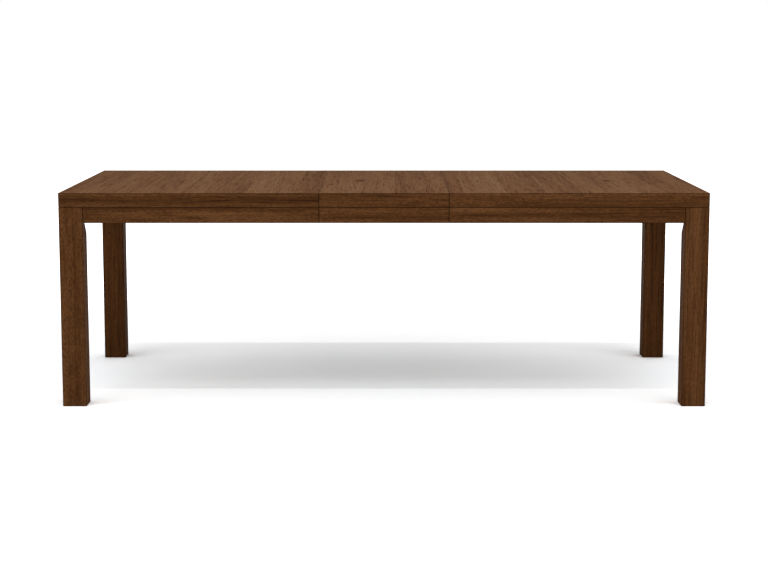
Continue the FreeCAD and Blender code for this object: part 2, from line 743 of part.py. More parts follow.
def lock_lever():
    """The front left lock's lever, open: its arm lies along the seam, towards +Y, and the mouth
    of its curved slot faces the seam."""
    body = new_body("lock_lever")
    pad(body, circles(body, "XY_Plane", [("0", "0")], "lever_half_width"), "lever_thickness")
    length = f"({LOCK_REACH} + lever_tip)"
    arm = rectangle("-lever_half_width", "lever_half_width", "0", length)
    pad(body, polygon(body, "XY_Plane", arm), "lever_thickness")
    handle = rectangle("-lever_half_width", "lever_half_width", f"{length} - lever_handle_thickness",
                       length)
    pad(body, polygon(body, "XY_Plane", handle), "lever_handle_drop", back=True)
    pocket(body, circles(body, "XY_Plane", [("0", "0")], "stud_radius + stud_gap"),
           "lever_thickness", forward=True)
    slot = "stud_radius + strike_gap"
    pocket(body, circles(body, "XY_Plane", [("0", LOCK_REACH)], slot), "lever_thickness", forward=True)
    across = rectangle(f"{LOCK_REACH} - ({slot})", f"{LOCK_REACH} + {slot}", "0", "lever_thickness")
    curved = body.newObject("PartDesign::Groove", "slot")
    curved.Profile = polygon(body, "YZ_Plane", across)
    curved.ReferenceAxis = (curved.Profile[0], ["V_Axis"])
    curved.Reversed = True
    curved.setExpression("Angle", sized("lever_mouth_turn"))
    body.setExpression("Placement.Base.x", sized(f"-{SEAM} - lock_setback"))
    body.setExpression("Placement.Base.y", sized(f"-{LOCK_AT}"))
    body.setExpression("Placement.Base.z", sized(LEVER_UNDER))
    return body


# ---- leaf ----

def leaf_veneer():
    body = slab("leaf_veneer", f"-{LEAF_EDGE}", LEAF_EDGE, f"-{FRONT}", FRONT, CORE_TOP, "table_height")
    ease(body, "top_ease", lambda point: at(point.z, "table_height"))
    return body


def leaf_core():
    """The leaf's core, with notches open below that drop over the pins of both halves."""
    body = slab("leaf_core", f"-{LEAF_EDGE}", LEAF_EDGE, f"-{CORE_SIDE}", CORE_SIDE,
                PANEL_UNDER, CORE_TOP)
    wide = "(pin_radius + pin_gap)"
    depth = "(pin_proud + pin_room)"
    for side, forward in ((-1, False), (1, True)):
        floor = f"{side} * ({LEAF_EDGE} - {depth})"
        pins = [f"{side} * {PIN_FAR}", f"{-side} * {PIN_NEAR}"]
        bores = circles(body, "YZ_Plane", [(y, PIN_LEVEL) for y in pins], wide, lift=floor)
        pocket(body, bores, depth, forward=forward)
        for y in pins:
            notch = rectangle(f"{y} - {wide}", f"{y} + {wide}", PANEL_UNDER, PIN_LEVEL)
            pocket(body, polygon(body, "YZ_Plane", notch, lift=floor), depth, forward=forward)
    return body


def leaf_front_board(name, deep, under, top):
    """A board along the leaf's front: its seam edges and its long lower or upper edge eased."""
    body = slab(name, f"-{LEAF_EDGE}", LEAF_EDGE, f"-{FRONT}", f"-{FRONT} + {deep}", under, top)
    ease(body, "edge_ease", lambda point: at(point.y, f"-{FRONT}") and at(point.z, EDGE_UNDER)
         or at(point.y, f"-{FRONT}") and at(point.z, APRON_UNDER))
    ease(body, "seam_ease", lambda point: abs(point.x) > value(LEAF_EDGE) - 0.01
         and point.y < value(f"-{FRONT} + edge_ease") + 0.01)
    return body


# ---- the halves ----

half_node("top_veneer", top_veneer())
half_node("core_panel", core_panel())
half_node("end_edge_rail", end_edge_rail())
half_node("end_apron", end_apron())
for name, front in (("edge_rail", front_edge_rail()), ("apron", front_apron()), ("leg", front_leg())):
    half_pair(name, front, mirrored(f"back_{name}", front))

block, bolt, nut = corner_block(), hanger_bolt(), flange_nut()
half_node("corner_blocks", group("corner_blocks", [block, mirrored("back_block", block)]))
half_node("hanger_bolts", group("hanger_bolts", [bolt, mirrored("back_bolt", bolt)]))
half_node("flange_nuts", group("flange_nuts", [nut, mirrored("back_nut", nut)]))
half_node("top_screws", top_screws())

near_seam = f"(-{SEAM} - apron_block_first)"
front_blocks = [apron_block(near_seam), apron_block(f"({near_seam} - apron_block_pitch)")]
half_node("apron_blocks", group("apron_blocks", front_blocks
                                + [mirrored("back_block", piece) for piece in front_blocks]))

rail, rack = slide_rail(), slide_rack()
half_pair("slide_rail", rail, moved("back_slide_rail", rail, y=f"2 * {SLIDE_AT}"))
half_node("slide_racks", group("slide_racks", [rack, moved("back_rack", rack, y=f"2 * {SLIDE_AT}")]))
half_node("alignment_pins", group("alignment_pins", [alignment_pin(f"-{PIN_FAR}"),
                                                     alignment_pin(PIN_NEAR)]))

# ---- the leaf ----

keep("leaf_top_veneer", leaf_veneer())
keep("leaf_core_panel", leaf_core())
leaf_edge = leaf_front_board("leaf_edge", "edge_rail_width", EDGE_UNDER, CORE_TOP)
leaf_apron = leaf_front_board("leaf_apron", "apron_thickness", APRON_UNDER, EDGE_UNDER)
for name, front in (("edge_rail", leaf_edge), ("apron", leaf_apron)):
    keep(f"leaf_front_{name}", front)
    keep(f"leaf_back_{name}", mirrored(f"leaf_back_{name}", front))
leaf_blocks = [apron_block("-leaf_block_offset"), apron_block("leaf_block_offset")]
keep("leaf_apron_blocks", group("leaf_apron_blocks", leaf_blocks
                                + [mirrored("back_block", piece) for piece in leaf_blocks]))

# ---- the locks: the left half's levers hold the leaf, and the leaf's levers hold the right half ----

plate, strike, lever = lock_plate(), lock_strike(), lock_lever()
back_lock = f"2 * {LOCK_AT}"
plates = group("left_lock_plates", [plate, moved("back_plate", plate, y=back_lock)])
strikes = group("leaf_lock_strikes", [strike, moved("back_strike", strike, y=back_lock)])
keep("left_lock_plates", plates)
keep("leaf_lock_strikes", strikes)
keep("leaf_lock_plates", moved("leaf_lock_plates", plates, x="leaf_width"))
keep("right_lock_strikes", moved("right_lock_strikes", strikes, x="leaf_width"))
keep("left_front_lock_lever", lever)
keep("left_back_lock_lever", moved("left_back_lock_lever", lever, y=back_lock))
keep("leaf_front_lock_lever", moved("leaf_front_lock_lever", lever, x="leaf_width"))
keep("leaf_back_lock_lever", moved("leaf_back_lock_lever", lever, x="leaf_width", y=back_lock))

# ---- the slide core between the halves ----

middle = centre_rail()
keep("front_centre_rail", middle)
keep("back_centre_rail", mirrored("back_centre_rail", middle))
tie = cross_tie()
keep("cross_ties", group("cross_ties", [tie, mirrored("right_tie", tie, Vector(1, 0, 0))]))
tie_screw = wood_screw("tie_screw", "tie_screw_length")
keep("tie_screws", group("tie_screws", [
    moved("tie_screw", tie_screw, x, y, f"{CENTRE_UNDER} - tie_thickness")
    for x in tie_screw_columns()
    for y in (f"-{SLIDE_AT}", SLIDE_AT)
]))
axle = pinion_axle()
keep("pinion_axles", group("pinion_axles", [axle, mirrored("back_axle", axle)]))
keep("front_pinion", pinion("front_pinion", f"-{SLIDE_AT}"))
keep("back_pinion", pinion("back_pinion", SLIDE_AT))

# ---- check and write ----

doc.recompute()
for item in doc.Objects:
    if {"Invalid", "Error"} & set(item.State):
        raise RuntimeError(f"{item.Label} failed: {item.State}")

os.makedirs("parts", exist_ok=True)
for label, piece in nodes.items():
    shape = piece.Shape
    if shape.isNull() or not shape.isValid() or not shape.Solids:
        raise RuntimeError(f"{label} has no valid shape")
    shape.exportStep(f"parts/{label}.step")
print(len(nodes), "nodes written")
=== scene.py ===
import math

import bpy
import numpy as np
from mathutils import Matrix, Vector


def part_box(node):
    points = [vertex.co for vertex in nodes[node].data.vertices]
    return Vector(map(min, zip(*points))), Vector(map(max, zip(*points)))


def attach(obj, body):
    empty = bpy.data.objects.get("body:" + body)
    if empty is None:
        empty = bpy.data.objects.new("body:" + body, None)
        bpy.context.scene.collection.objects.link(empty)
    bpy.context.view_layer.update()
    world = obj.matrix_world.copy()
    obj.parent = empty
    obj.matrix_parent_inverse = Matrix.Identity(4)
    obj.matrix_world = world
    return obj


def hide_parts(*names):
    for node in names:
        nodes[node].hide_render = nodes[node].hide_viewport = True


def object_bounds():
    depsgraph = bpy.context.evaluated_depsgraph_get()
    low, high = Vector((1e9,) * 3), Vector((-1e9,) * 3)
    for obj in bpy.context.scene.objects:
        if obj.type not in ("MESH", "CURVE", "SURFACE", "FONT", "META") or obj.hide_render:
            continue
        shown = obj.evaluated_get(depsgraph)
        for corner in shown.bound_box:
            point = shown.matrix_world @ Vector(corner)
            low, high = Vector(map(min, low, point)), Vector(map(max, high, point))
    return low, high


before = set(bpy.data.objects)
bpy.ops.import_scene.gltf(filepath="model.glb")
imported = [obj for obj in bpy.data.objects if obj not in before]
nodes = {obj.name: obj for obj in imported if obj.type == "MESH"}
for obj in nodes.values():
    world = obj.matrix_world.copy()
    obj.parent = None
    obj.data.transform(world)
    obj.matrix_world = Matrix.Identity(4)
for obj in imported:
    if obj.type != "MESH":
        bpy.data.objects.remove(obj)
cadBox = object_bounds()
scene = bpy.context.scene
scene.view_settings.view_transform = "Standard"
print("frame loaded:", len(nodes), "nodes")


# camera, world and lamps

cameraLook = {
    "lens": 85.01,
    "sensor": 36.0,
    "place": (0.0, -6.8702, 1.3168),
    "pitchDown": 8.002,
}

camera = bpy.data.cameras.new("camera")
camera.lens = cameraLook["lens"]
camera.sensor_width = cameraLook["sensor"]
cameraObject = bpy.data.objects.new("camera", camera)
cameraObject.location = cameraLook["place"]
cameraObject.rotation_euler = (math.radians(90 - cameraLook["pitchDown"]), 0, 0)
scene.collection.objects.link(cameraObject)
scene.camera = cameraObject


def addNode(tree, kind, inputs=None, **settings):
    # one shader node: settings go on the node, inputs are numbers or sockets to link
    node = tree.nodes.new("ShaderNode" + kind)
    for name, setting in settings.items():
        setattr(node, name, setting)
    for name, source in (inputs or {}).items():
        socket = node.inputs[name]
        if isinstance(source, bpy.types.NodeSocket):
            tree.links.new(source, socket)
        else:
            socket.default_value = source
    return node


def doMath(tree, operation, *numbers, clamp=False):
    # the result of a Math node on one to three numbers or sockets
    node = addNode(tree, "Math", dict(enumerate(numbers)), operation=operation, use_clamp=clamp)
    return node.outputs[0]


def doVector(tree, operation, *vectors):
    # the result of a Vector Math node
    node = addNode(tree, "VectorMath", dict(enumerate(vectors)), operation=operation)
    return node.outputs["Value" if operation in ("LENGTH", "DOT_PRODUCT") else "Vector"]


def mixColors(tree, factor, first, second, blend="MIX"):
    # first towards second by the factor
    node = addNode(tree, "Mix", {0: factor, 6: first, 7: second}, data_type="RGBA", blend_type=blend)
    return node.outputs[2]


def smoothBetween(tree, number, low, high):
    # 0 at low, 1 at high, eased at both ends
    return addNode(tree, "MapRange", {"Value": number, "From Min": low, "From Max": high},
                   interpolation_type="SMOOTHSTEP").outputs["Result"]


def fadeOut(tree, square, rate=1.0):
    # exp(-rate times square)
    return doMath(tree, "EXPONENT", doMath(tree, "MULTIPLY", square, -rate))


def seenRays(tree):
    # the ray outputs, and 1 for what the camera sees, straight or through gloss or glass
    rays = addNode(tree, "LightPath").outputs
    seen = doMath(tree, "MAXIMUM", rays["Is Camera Ray"], rays["Is Glossy Ray"])
    return rays, doMath(tree, "MAXIMUM", seen, rays["Is Transmission Ray"])


def startGroup(name, inputs, outputs):
    # an empty node group: inputs are (name, kind, value), outputs are (name, kind)
    group = bpy.data.node_groups.new(name, "ShaderNodeTree")
    for label, kind, value in inputs:
        socket = group.interface.new_socket(label, in_out="INPUT", socket_type="NodeSocket" + kind)
        if value is not None:
            socket.default_value = value
    for label, kind in outputs:
        group.interface.new_socket(label, in_out="OUTPUT", socket_type="NodeSocket" + kind)
    return group, group.nodes.new("NodeGroupInput").outputs, group.nodes.new("NodeGroupOutput").inputs


def useGroup(tree, group, **values):
    # the group placed in a material, its sockets set by name
    node = addNode(tree, "Group", node_tree=group)
    for name, source in values.items():
        socket = node.inputs[name]
        if isinstance(source, bpy.types.NodeSocket):
            tree.links.new(source, socket)
        else:
            socket.default_value = source
    return node.outputs


def startMaterial(name):
    # a material with only its output, and the tree to fill
    material = bpy.data.materials.new(name)
    material.use_nodes = True
    tree = material.node_tree
    tree.nodes.clear()
    return material, tree, tree.nodes.new("ShaderNodeOutputMaterial").inputs["Surface"]


lightLook = {
    "worldLevel": 0.642,
    "aim": (0.0, 0.0, 0.7),
    "strips": {                                 # place, length and width, power
        "topStrip": ((0.0, -0.8, 4.4), (9.0, 0.12), 41.5),
        "middleStrip": ((0.0, -2.4, 4.4), (4.0, 0.12), 33.7),
        "leftStrip": ((-3.0, -2.4, 2.6), (3.0, 0.12), 16.3),
        "rightStrip": ((3.0, -2.4, 2.6), (3.0, 0.12), 16.3),
        "lowStrip": ((0.0, -2.0, 2.6), (9.0, 0.4), 14.4),
    },
}

world = bpy.data.worlds.new("studio")
scene.world = world
world.use_nodes = True
worldTree = world.node_tree
worldTree.nodes.clear()
rays, seen = seenRays(worldTree)
studioLight = addNode(worldTree, "Background", {"Color": (1, 1, 1, 1), "Strength": lightLook["worldLevel"]})
studioWhite = addNode(worldTree, "Background", {"Color": (1, 1, 1, 1), "Strength": 1.0})
studioMix = addNode(worldTree, "MixShader", {0: seen, 1: studioLight.outputs[0], 2: studioWhite.outputs[0]})
worldOut = worldTree.nodes.new("ShaderNodeOutputWorld")
worldTree.links.new(studioMix.outputs[0], worldOut.inputs["Surface"])

for lampName, (lampPlace, lampSize, lampPower) in lightLook["strips"].items():
    lamp = bpy.data.lights.new(lampName, "AREA")
    lamp.shape = "RECTANGLE"
    lamp.size, lamp.size_y = lampSize
    lamp.energy = lampPower
    lampObject = bpy.data.objects.new(lampName, lamp)
    lampObject.location = lampPlace
    aim = Vector(lightLook["aim"]) - lampObject.location
    lampObject.rotation_euler = aim.to_track_quat("-Z", "Y").to_euler()
    lampObject.visible_camera = False
    scene.collection.objects.link(lampObject)
print("camera and lights done")


# floor

floorLook = {
    "half": 60.0,
    "color": (0.8, 0.8, 0.8, 1),
    "seenColor": (1.49, 1.49, 1.49, 1),
    # painted shadow tint: the cooler colour below is seen under the table and cancels the warm bounce light
    # from the wood
    "shadowTintPaint": (1.358, 1.496, 1.635, 1),      # seen under the table, against the wood's warm bounce
    "shadowTintMiddle": (0.0, 0.11, 0.0),
    "shadowTintScale": (0.81, 1.675, 0.0),
    "farLift": 1.0,                             # the white added between these two distances
    "fadeFrom": 1.7,
    "fadeTo": 3.2,
}

floorMesh = bpy.data.meshes.new("floor")
reach = floorLook["half"]
floorMesh.from_pydata([(-reach, -reach, 0), (reach, -reach, 0), (reach, reach, 0), (-reach, reach, 0)],
                      [], [(0, 1, 2, 3)])
floor = bpy.data.objects.new("floor", floorMesh)
scene.collection.objects.link(floor)

floorMaterial, tree, surface = startMaterial("paleFloor")
rays, seen = seenRays(tree)
place = addNode(tree, "TexCoord").outputs["Object"]
# painted shadow tint = exp(-|(place - middle) times scale|^2), the share of the cooler colour seen under the
# table
spread = doVector(tree, "SUBTRACT", place, floorLook["shadowTintMiddle"])
spread = doVector(tree, "MULTIPLY", spread, floorLook["shadowTintScale"])
shadowTint = fadeOut(tree, doVector(tree, "DOT_PRODUCT", spread, spread))
seenPaint = mixColors(tree, shadowTint, floorLook["seenColor"], floorLook["shadowTintPaint"])
paint = addNode(tree, "BsdfDiffuse", {
    "Color": mixColors(tree, rays["Is Camera Ray"], floorLook["color"], seenPaint)})
away = smoothBetween(tree, doVector(tree, "LENGTH", place), floorLook["fadeFrom"], floorLook["fadeTo"])
lift = doMath(tree, "MULTIPLY", away, floorLook["farLift"])
glow = addNode(tree, "Emission", {"Color": (1, 1, 1, 1), "Strength": doMath(tree, "MULTIPLY", seen, lift)})
lit = addNode(tree, "AddShader", {0: paint.outputs[0], 1: glow.outputs[0]})
below = doMath(tree, "MULTIPLY", addNode(tree, "NewGeometry").outputs["Backfacing"], rays["Is Camera Ray"])
clear = addNode(tree, "BsdfTransparent")
whole = addNode(tree, "MixShader", {0: below, 1: lit.outputs[0], 2: clear.outputs[0]})
tree.links.new(whole.outputs[0], surface)
floorMesh.materials.append(floorMaterial)
print("floor done")


# wood: one figure group for every species

figureLook = {
    # each noise: how often it repeats in a metre along and across the grain, and its detail
    "wander": (1.1, 5.0, 2.0), "Bands": (0.45, 8.0, 1.0), "Streaks": (1.5, 42.0, 3.0),
    "Mottle": (24.0, 34.0, 1.0), "hairline": (6.0, 230.0, 2.0), "heart": (2.5, 30.0, 2.0),
    "fibre": (24.0, 900.0, 2.0), "fleck": (85.0, 330.0, 1.0), "pore": (90.0, 1500.0, 0.0),
    # the noise levels between which a mark fades in
    "hairlineFade": (0.48, 0.74), "fleckFade": (0.42, 0.66), "poreFade": (0.60, 0.70),
    "noiseRoughness": 0.55, "seedShift": (3.17, 1.73, 2.39), "wanderReach": 0.03, "ringPower": 3.0,
    # the joint colour is that of the painted shade along board edges and seams, and of the plies' glue lines
    "ringMean": 0.25, "fibreTone": 0.25, "shadeAndGlueColor": (0.012, 0.005, 0.002, 1),
    "rough": 0.58, "roughFibre": 0.12, "roughPore": 0.12, "fibreHeight": 0.4,
}


def buildWoodFigure():
    # r = distance to the pith line + warp; ring = fraction(r / ring width) to a power
    # tone = body + rings, bands, streaks, mottle and fibres, each a noise stretched along the grain,
    # less dark hairlines where a finer noise is high, less heart times exp(-((y - at) / half)^2)
    # colour = dark to body to light by tone, darker in flecks and pores, and darker at the joints: painted
    # shade along board edges and seams, real glue lines between plies
    group, given, made = startGroup("woodFigure", [
        ("Place", "Vector", None), ("Seed", "Float", 0.0), ("Pith", "Vector", None),
        ("Ring Width", "Float", 0.006), ("Rings", "Float", 0.2), ("Bands", "Float", 0.5),
        ("Streaks", "Float", 0.6), ("Lines", "Float", 0.5), ("Mottle", "Float", 0.2),
        ("Flecks", "Float", 0.3), ("Pores", "Float", 0.4), ("Tone", "Float", 0.0),
        ("Heart", "Float", 0.0), ("Heart At", "Float", 0.0), ("Heart Half", "Float", 0.01),
        ("Shade And Glue", "Float", 0.0), ("Dark", "Color", None), ("Body", "Color", None),
        ("Light", "Color", None),
    ], [("Color", "Color"), ("Roughness", "Float"), ("Height", "Float")])

    look = figureLook
    shift = addNode(group, "CombineXYZ", {axis: given["Seed"] for axis in "XYZ"}).outputs[0]
    shifted = doVector(group, "ADD", given["Place"], doVector(group, "MULTIPLY", shift, look["seedShift"]))

    def grainNoise(kind, output="Fac", source=shifted):
        along, across, detail = look[kind]
        stretched = doVector(group, "MULTIPLY", source, (along, across, across))
        return addNode(group, "TexNoise", {"Vector": stretched, "Scale": 1.0, "Detail": detail,
                                           "Roughness": look["noiseRoughness"]}).outputs[output]

    wander = doVector(group, "SUBTRACT", grainNoise("wander", "Color"), (0.5, 0.5, 0.5))
    wander = doVector(group, "MULTIPLY", wander, (0.0, look["wanderReach"], look["wanderReach"]))
    bent = doVector(group, "ADD", shifted, wander)
    fromPith = doVector(group, "SUBTRACT", doVector(group, "ADD", given["Place"], wander), given["Pith"])
    radius = doVector(group, "LENGTH", doVector(group, "MULTIPLY", fromPith, (0.0, 1.0, 1.0)))
    phase = doMath(group, "FRACT", doMath(group, "DIVIDE", radius, given["Ring Width"]))
    ring = doMath(group, "POWER", phase, look["ringPower"])

    tone = doMath(group, "ADD", given["Tone"], 0.5)
    ringShare = doMath(group, "SUBTRACT", look["ringMean"], ring)
    tone = doMath(group, "MULTIPLY_ADD", ringShare, given["Rings"], tone)
    for share in ("Bands", "Streaks", "Mottle"):
        centred = doMath(group, "SUBTRACT", grainNoise(share, source=bent), 0.5)
        tone = doMath(group, "MULTIPLY_ADD", centred, given[share], tone)
    hairline = smoothBetween(group, grainNoise("hairline", source=bent), *look["hairlineFade"])
    tone = doMath(group, "SUBTRACT", tone, doMath(group, "MULTIPLY", hairline, given["Lines"]))
    across = addNode(group, "SeparateXYZ", {0: given["Place"]}).outputs["Y"]
    fromHeart = doMath(group, "SUBTRACT", across, given["Heart At"])
    fromHeart = doMath(group, "DIVIDE", fromHeart, given["Heart Half"])
    heart = fadeOut(group, doMath(group, "MULTIPLY", fromHeart, fromHeart))
    heart = doMath(group, "MULTIPLY", heart, grainNoise("heart"))
    tone = doMath(group, "SUBTRACT", tone, doMath(group, "MULTIPLY", heart, given["Heart"]))
    fibre = grainNoise("fibre")
    tone = doMath(group, "MULTIPLY_ADD", doMath(group, "SUBTRACT", fibre, 0.5), look["fibreTone"], tone)

    darker = doMath(group, "MULTIPLY", tone, 2.0, clamp=True)
    lighter = doMath(group, "SUBTRACT", doMath(group, "MULTIPLY", tone, 2.0), 1.0, clamp=True)
    color = mixColors(group, darker, given["Dark"], given["Body"])
    color = mixColors(group, lighter, color, given["Light"])
    fleck = smoothBetween(group, grainNoise("fleck", source=bent), *look["fleckFade"])
    color = mixColors(group, doMath(group, "MULTIPLY", fleck, given["Flecks"]), color, given["Dark"])
    pore = smoothBetween(group, grainNoise("pore"), *look["poreFade"])
    color = mixColors(group, doMath(group, "MULTIPLY", pore, given["Pores"]), color, given["Dark"])
    # painted shade along board edges and seams, and the plies' glue lines, darken the colour here
    color = mixColors(group, given["Shade And Glue"], color, look["shadeAndGlueColor"])
    group.links.new(color, made["Color"])
    rough = doMath(group, "MULTIPLY_ADD", fibre, look["roughFibre"], look["rough"])
    rough = doMath(group, "MULTIPLY_ADD", pore, look["roughPore"], rough)
    group.links.new(rough, made["Roughness"])
    raised = doMath(group, "MULTIPLY", fibre, look["fibreHeight"])
    group.links.new(doMath(group, "SUBTRACT", raised, pore), made["Height"])
    return group


# painted shade: a dark line along each board's edges stands for the shade in the joints and grooves between
# boards
edgeShadeLook = {"width": 0.0020, "full": 0.25}     # the line is full up to this share of its width


def buildEdgeShade():
    # the line is painted shade along every edge of the box
    # distance from a face point to the box's nearest edge = median of its three distances to the sides
    # line = 1 at the edge, eased to 0 at the width
    group, given, made = startGroup("paintedEdgeShade", [
        ("Low", "Vector", None), ("High", "Vector", None), ("Width", "Float", edgeShadeLook["width"]),
    ], [("Line", "Float")])
    place = addNode(group, "TexCoord").outputs["Object"]
    near = doVector(group, "ABSOLUTE", doVector(group, "SUBTRACT", place, given["Low"]))
    far = doVector(group, "ABSOLUTE", doVector(group, "SUBTRACT", given["High"], place))
    x, y, z = addNode(group, "SeparateXYZ", {0: doVector(group, "MINIMUM", near, far)}).outputs
    median = doMath(group, "MAXIMUM", doMath(group, "MINIMUM", x, y),
                    doMath(group, "MINIMUM", doMath(group, "MAXIMUM", x, y), z))
    line = smoothBetween(group, doMath(group, "DIVIDE", median, given["Width"]), 1.0, edgeShadeLook["full"])
    group.links.new(line, made["Line"])
    return group


plyLook = {"step": 0.0024, "tone": -0.45, "glueFade": (0.42, 0.49), "glue": 0.45}


def buildPlyLayers():
    # layer = (z - low) / step + 1/2; every other layer is darker, with a glue line where it changes
    group, given, made = startGroup("plyLayers", [
        ("Low", "Float", 0.0), ("Step", "Float", plyLook["step"]),
    ], [("Tone", "Float"), ("Line", "Float")])
    level = addNode(group, "SeparateXYZ", {0: addNode(group, "TexCoord").outputs["Object"]}).outputs["Z"]
    layer = doMath(group, "DIVIDE", doMath(group, "SUBTRACT", level, given["Low"]), given["Step"])
    layer = doMath(group, "ADD", layer, 0.5)
    odd = doMath(group, "MODULO", doMath(group, "FLOOR", layer), 2.0)
    group.links.new(doMath(group, "MULTIPLY", odd, plyLook["tone"]), made["Tone"])
    off = doMath(group, "ABSOLUTE", doMath(group, "SUBTRACT", doMath(group, "FRACT", layer), 0.5))
    glue = smoothBetween(group, off, *plyLook["glueFade"])
    group.links.new(doMath(group, "MULTIPLY", glue, plyLook["glue"]), made["Line"])
    return group


woodFigure = buildWoodFigure()
paintedEdgeShade = buildEdgeShade()
plyLayers = buildPlyLayers()

walnut = {
    "Dark": (0.0333, 0.0116, 0.0036, 1), "Body": (0.105, 0.0413, 0.0130, 1),
    "Light": (0.175, 0.0759, 0.0289, 1),
    "Ring Width": 0.0065, "Rings": 0.14, "Bands": 0.9, "Streaks": 1.15, "Lines": 0.35, "Mottle": 0.26,
    "Flecks": 0.5, "Pores": 0.4,
}
legWalnut = {**walnut, "Bands": 0.6, "Streaks": 0.8, "Lines": 0.45, "Mottle": 0.12, "Flecks": 0.38}
# the top's veneer is lighter than the sides' walnut partly by its own tone and partly by painted light, which
# stands for the stronger light on the top
veneer = {
    **walnut, "Dark": (0.0578, 0.0173, 0.0040, 1), "Body": (0.165, 0.0772, 0.0308, 1),
    "Light": (0.223, 0.132, 0.0618, 1), "Bands": 0.45, "Streaks": 0.7, "Lines": 0.5, "Flecks": 0.5,
}
plywood = {
    "Dark": (0.30, 0.18, 0.09, 1), "Body": (0.48, 0.32, 0.17, 1), "Light": (0.62, 0.45, 0.27, 1),
    "Ring Width": 0.010, "Rings": 0.25, "Bands": 0.5, "Streaks": 0.6, "Lines": 0.15, "Mottle": 0.2,
    "Flecks": 0.15, "Pores": 0.2,
}
maple = {
    "Dark": (0.40, 0.25, 0.12, 1), "Body": (0.58, 0.40, 0.22, 1), "Light": (0.68, 0.51, 0.31, 1),
    "Ring Width": 0.004, "Rings": 0.2, "Bands": 0.3, "Streaks": 0.4, "Lines": 0.1, "Mottle": 0.3,
    "Flecks": 0.12, "Pores": 0.1,
}
poplar = {
    "Dark": (0.26, 0.22, 0.10, 1), "Body": (0.46, 0.38, 0.19, 1), "Light": (0.60, 0.50, 0.30, 1),
    "Ring Width": 0.005, "Rings": 0.3, "Bands": 0.6, "Streaks": 0.5, "Lines": 0.15, "Mottle": 0.1,
    "Flecks": 0.12, "Pores": 0.1,
}
beech = {
    "Dark": (0.36, 0.20, 0.10, 1), "Body": (0.52, 0.32, 0.17, 1), "Light": (0.62, 0.42, 0.24, 1),
    "Ring Width": 0.003, "Rings": 0.2, "Bands": 0.2, "Streaks": 0.3, "Lines": 0.1, "Mottle": 0.1,
    "Flecks": 0.35, "Pores": 0.2,
}

finish = {"specular": 0.02, "topSpecular": 0.006, "bump": 0.00012}


def grainPlace(tree, order):
    # object coordinates reordered as (along, across, depth) of the grain, such as "xzy"
    # "corner" is a block across a table corner: along = (|x| - |y|) / sqrt 2
    place = addNode(tree, "TexCoord").outputs["Object"]
    axes = addNode(tree, "SeparateXYZ", {0: place}).outputs
    if order == "corner":
        x, y = (doMath(tree, "ABSOLUTE", axes[axis]) for axis in "XY")
        along = doMath(tree, "DIVIDE", doMath(tree, "SUBTRACT", x, y), math.sqrt(2))
        depth = doMath(tree, "DIVIDE", doMath(tree, "ADD", x, y), math.sqrt(2))
        picked = (along, axes["Z"], depth)
    else:
        picked = [axes[axis.upper()] for axis in order]
    return addNode(tree, "CombineXYZ", dict(zip("XYZ", picked))).outputs[0]


def finishWood(tree, surface, figure, specular=finish["specular"]):
    # the wood's shader: satin lacquer over the figure, pores sunk a little
    bump = addNode(tree, "Bump", {"Height": figure["Height"], "Strength": 1.0,
                                  "Distance": finish["bump"]})
    shader = addNode(tree, "BsdfPrincipled", {
        "Base Color": figure["Color"], "Roughness": figure["Roughness"],
        "Normal": bump.outputs["Normal"], "Specular IOR Level": specular})
    tree.links.new(shader.outputs[0], surface)


def woodMaterial(name, species, order, seed, pith, edges=None, plyFrom=None, **changes):
    # a board's own material: its grain's direction, its seed and where its pith lies
    # edges is the (low, high) box whose edges take a line of painted shade; plyFrom is the lowest ply's level
    material, tree, surface = startMaterial(name)
    if edges:
        # painted shade along the board's edges
        changes["Shade And Glue"] = useGroup(tree, paintedEdgeShade, Low=edges[0], High=edges[1])["Line"]
    if plyFrom:
        plies = useGroup(tree, plyLayers, Low=plyFrom)
        changes["Tone"], changes["Shade And Glue"] = plies["Tone"], plies["Line"]
    figure = useGroup(tree, woodFigure, **{**species, **changes, "Seed": seed, "Pith": pith,
                                           "Place": grainPlace(tree, order)})
    finishWood(tree, surface, figure)
    return material


def dress(name, material):
    # the one material of a CAD node
    mesh = nodes[name].data
    mesh.materials.clear()
    mesh.materials.append(material)


# top veneer: leaves laid side by side, each (width mm, tone, how dark its right joint is)

veneerLayup = {
    "left": [(142, -0.02, 0.34), (148, 0.02, 0.05), (145, 0.04, 0.40), (75, 0.05, 0.10),
             (142, -0.03, 0.12), (180, 0.1, 0.30), (82.4, -0.05, 0.0)],
    "leaf": [(152, 0.02, 0.10), (120, 0.05, 0.42), (184.4, -0.02, 0.0)],
    "right": [(52, -0.1, 0.12), (165, 0.1, 0.26), (125, -0.05, 0.10), (122, -0.02, 0.45),
              (92, 0.03, 0.15), (196, 0.05, 0.36), (75, -0.06, 0.06), (87.4, 0.0, 0.0)],
}
veneerLook = {
    "jointHalf": 2.5, "seedStart": 11, "seedReach": 9.0,        # mm, and the leaves' random seeds
    "firstSeed": {"left": 2.0, "leaf": 31.0, "right": 57.0},
    "pithAside": 0.3, "pithLevel": 0.5, "seamWidth": 0.0009,
    # the seam line is painted shade for the gap between the top's panels
    "openBox": {"side": 1.0, "under": 0.5},                     # so far out that only the seams take a line
}


